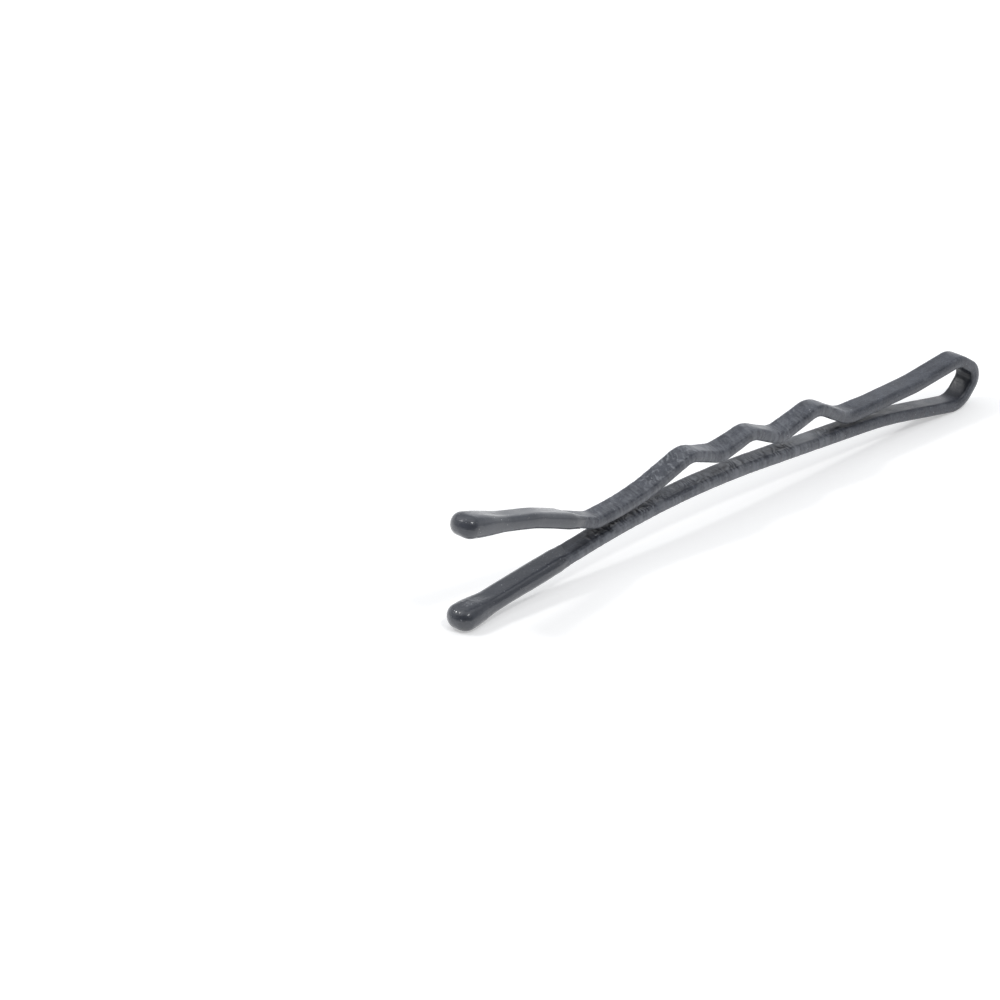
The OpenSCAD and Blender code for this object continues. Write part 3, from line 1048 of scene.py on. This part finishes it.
@dataclass
class DippedTip:
    """A dipped tip: a bead in front of the strip's end and a sleeve along the leg.

    Paint runs to the end before it cures, so it swells to a bead there, thins along
    the sleeve and ends in a wavering line.

    Lengths and heights are in millimetres. The roundness, the calm of the mouth and the
    pole are shares.
    """

    form: FormedStrip
    leg: Leg
    dip: float
    mouth_skew: float
    seed: int
    wrinkle: float
    bead_length: float
    cover: float = 0.13
    lip: float = 0.035
    lip_length: float = 0.9
    sleeve_round: float = 0.47
    roundness: float = 0.97
    leg_reach: float = 20.0
    pitch: float = 0.05
    front_rings: int = 26
    steps: Steps = (6, 18, 4)
    swell: float = 0.012
    swell_pitch: Pair = (1.1, 0.63)
    wrinkle_pitch: Pair = (0.4, 0.4)
    sharpness: int = 3
    calm_mouth: float = 0.75
    mouth_wave: float = 0.18
    mouth_waves: int = 3
    mouth_reach: float = 3.0
    pole: float = 0.02

    def build(self, paint: Material) -> Object:
        """Builds the piece.

        The bead's front is a quarter ellipse along, whose section grows as the sine
        while the place moves as one minus the cosine. Behind it the section fades to
        the sleeve's, and the sleeve's last stretch thins to its lip.

        Args:
            paint: Finish of the dip.

        Returns:
            The piece.
        """
        form = self.form
        whole = form.line(self.pitch)
        line = whole if self.leg is Leg.STRAIGHT else whole.reversed()
        start = line.heading[0]
        ahead = np.array([math.cos(start), math.sin(start)])
        leg = slice(round(self.leg_reach / self.pitch))
        mouth = float(np.interp(self.dip, line.place[leg, 0], line.along[leg])) + form.end_cover
        front = 1 - np.cos(np.linspace(0, math.pi / 2, self.front_rings))
        rest = np.arange(form.bead_round + self.pitch, mouth, self.pitch)
        run = np.concatenate([form.bead_round * front, rest, [mouth, mouth]])
        scale = np.sqrt(np.clip(1 - (1 - np.minimum(run / form.bead_round, 1)) ** 2, 0, 1))
        scale = np.maximum(scale, self.pole)
        neck = fade((run - form.bead_round) / (self.bead_length - form.bead_round))
        thin = fade((mouth - run) / self.lip_length)
        thin[-1] = 0.0
        film = np.where(np.arange(len(run)) < len(run) - 1, self.lip, -form.lacquer)
        skin = film + (self.cover - self.lip) * thin
        width = (form.bead_width * (1 - neck) + (form.width + 2 * skin) * neck) * scale
        height = (form.bead_thickness * (1 - neck) + (form.thickness + 2 * skin) * neck) * scale
        full = height / 2 * self.roundness
        snug = self.sleeve_round * thin + (form.edge_radius + skin) * (1 - thin)
        radius = np.minimum(full, full * (1 - neck) + snug * neck)

        section = form.section(self.steps)
        swell = self.swell * Layer(self.seed, self.swell_pitch).noise(run, section)
        lump = Layer(self.seed + 1, self.wrinkle_pitch).noise(run, section)
        crest = self.wrinkle * (1 - np.abs(lump)) ** self.sharpness * (1 - neck)[:, None]
        lift = (swell + crest) * scale[:, None]
        lift *= eased(self.calm_mouth, thin)[:, None]
        cut = section.points(width, height, radius, lift)

        wave = self.mouth_wave * np.sin(self.mouth_waves * section.angle + self.seed)
        shift = self.mouth_skew * section.across + wave
        near = fade((run - (mouth - self.mouth_reach)) / self.mouth_reach)
        distance = run[:, None] + near[:, None] * shift - form.end_cover
        ring = line.at(np.maximum(distance, 0.0))
        lead = np.minimum(distance, 0.0)[..., None] * ahead
        points = Line(ring.place + lead, ring.heading, distance).carry(cut, form.length / 2)
        piece = make_piece(f"{self.leg.value}_dip", points, run, section.around)
        piece.data.materials.append(paint)
        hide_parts(f"{self.leg.value}_tip")
        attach(piece, self.leg.value)
        return piece


# Studio


@dataclass
class Studio:
    """The floor, the lamps and the camera.

    Attributes hold millimetres. The camera's place and directions follow the
    photograph, as does its long lens. The room goes from one dot product to another,
    then from one strength to another, and rising holds the places and shares of the
    ceiling's bands.
    """

    camera_at: Triple = (-325.03, -295.04, 209.38)
    camera_forward: Triple = (0.64838, 0.62867, -0.42940)
    camera_up: Triple = (0.30586, 0.30140, 0.90311)
    lens: float = 267.03
    floor_size: float = 3000.0
    backdrop: Triple = (0.6, 0.6, 0.55)
    room: Quad = (-0.2, 0.5, 0.05, 1.3)
    rising: tuple[Pair, ...] = (
        (0.0, 0.5), (0.15, 0.95), (0.3, 1.0), (0.48, 0.26), (0.66, 0.3), (0.84, 0.85))
    tint: str = "#fafcff"
    lamps: tuple[tuple[str, Triple, float, float], ...] = (
        ("left_softbox", (-195.0, 240.0, 395.0), 80.0, 0.5),
        ("right_softbox", (-50.0, -266.0, 413.0), 80.0, 0.52),
    )

    def build(self, board: Material) -> None:
        """Lays a flat board under the pin, and sets up the light and the camera.

        Args:
            board: Finish of the board.
        """
        half = self.floor_size / 2 * MM
        mesh = bpy.data.meshes.new("floor")
        corners = [(-half, -half, 0.0), (half, -half, 0.0), (half, half, 0.0), (-half, half, 0.0)]
        mesh.from_pydata(corners, [], [(0, 1, 2, 3)])
        mesh.materials.append(board)
        floor = bpy.data.objects.new("floor", mesh)
        bpy.context.scene.collection.objects.link(floor)
        self.light()
        self.aim_camera()

    def light(self) -> None:
        """Hangs the softboxes, each turned to the pin, before a lit white backdrop.

        The room is bright overhead and towards the backdrop, and dim on the camera's
        side: its strength grows with the dot product of the direction and the
        backdrop's. Between the backdrop and the ceiling lies a darker band.
        """
        for name, place, size, power in self.lamps:
            data = bpy.data.lights.new(name, "AREA")
            data.shape = "DISK"
            data.size = size * MM
            data.energy = power
            lamp = bpy.data.objects.new(name, data)
            lamp.location = Vector(place) * MM
            lamp.rotation_euler = Vector(place).to_track_quat("Z", "Y").to_euler()
            bpy.context.scene.collection.objects.link(lamp)
        world = bpy.data.worlds.new("white_room")
        add = emptied(world)
        path = add("LightPath").outputs
        rays = {0: path["Is Camera Ray"], 1: path["Is Transmission Ray"]}
        seen = add("Math", rays, operation="MAXIMUM").outputs[0]
        view = add("TexCoord").outputs["Generated"]
        toward = add("VectorMath", {0: view, 1: self.backdrop}, operation="DOT_PRODUCT")
        room = mapped(add, toward.outputs["Value"], *self.room)
        height = add("SeparateXYZ", {0: view})
        band = add("ValToRGB", {0: height.outputs["Z"]})
        stops = band.color_ramp.elements
        while len(stops) < len(self.rising):
            stops.new(1.0)
        for stop, (at, share) in zip(stops, self.rising):
            stop.position, stop.color = at, (share, share, share, 1.0)
        banded = add("Math", {0: room, 1: band.outputs["Color"]}, operation="MULTIPLY")
        strength = mapped(add, seen, 0.0, 1.0, banded.outputs[0], 1.0)
        colour = mixed(add, seen, linear(self.tint), "#ffffff")
        sky = add("Background", {"Color": colour, "Strength": strength})
        add("OutputWorld", {"Surface": sky.outputs[0]})
        bpy.context.scene.world = world

    def aim_camera(self) -> None:
        """Sets the camera at the photograph's place, with its back to the view."""
        data = bpy.data.cameras.new("camera")
        data.sensor_width = 36.0
        data.lens = self.lens
        data.clip_start = 0.01
        data.clip_end = 10.0
        back = -Vector(self.camera_forward).normalized()
        up = Vector(self.camera_up).normalized()
        right = up.cross(back).normalized()
        up = back.cross(right)
        turn = Matrix((right, up, back)).transposed()
        camera = bpy.data.objects.new("camera", data)
        camera.matrix_world = Matrix.Translation(Vector(self.camera_at) * MM) @ turn.to_4x4()
        bpy.context.scene.collection.objects.link(camera)
        bpy.context.scene.camera = camera


def dress_hidden(finishes: dict[str, Material]) -> None:
    """Gives each hidden CAD node the finish of what stands for it.

    Args:
        finishes: For the last word of a node's name, its finish.
    """
    for name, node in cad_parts.items():
        node.data.materials.clear()
        node.data.materials.append(finishes[name.rsplit("_", 1)[1]])


def main() -> None:
    """Builds the pin and its stage, and reports each piece."""
    logging.basicConfig(level=logging.INFO, format="%(name)s: %(message)s")
    scene = bpy.context.scene
    scene.view_settings.view_transform = "Standard"
    lacquer, paint, steel = BakedLacquer().make(), DippedPaint().make(), RolledSteel().make()
    form = FormedStrip()
    Studio().build(WhiteSweep().make())
    strip = Strip(form)
    pieces = [*strip.build(strip.lacquer, lacquer), *strip.build(strip.steel, steel)]
    tips = (
        DippedTip(form, Leg.STRAIGHT, dip=10.0, mouth_skew=0.3, seed=41, wrinkle=0.018,
                  bead_length=3.4),
        DippedTip(form, Leg.CRIMPED, dip=10.7, mouth_skew=-0.45, seed=43, wrinkle=0.0,
                  bead_length=4.3),
    )
    pieces += [tip.build(paint) for tip in tips]
    dress_hidden({"wire": steel, "coat": lacquer, "tip": paint})
    for piece in pieces:
        piece.data.calc_loop_triangles()
        log.info("%s: %d triangles", piece.name, len(piece.data.loop_triangles))


if __name__ == "__main__":
    main()
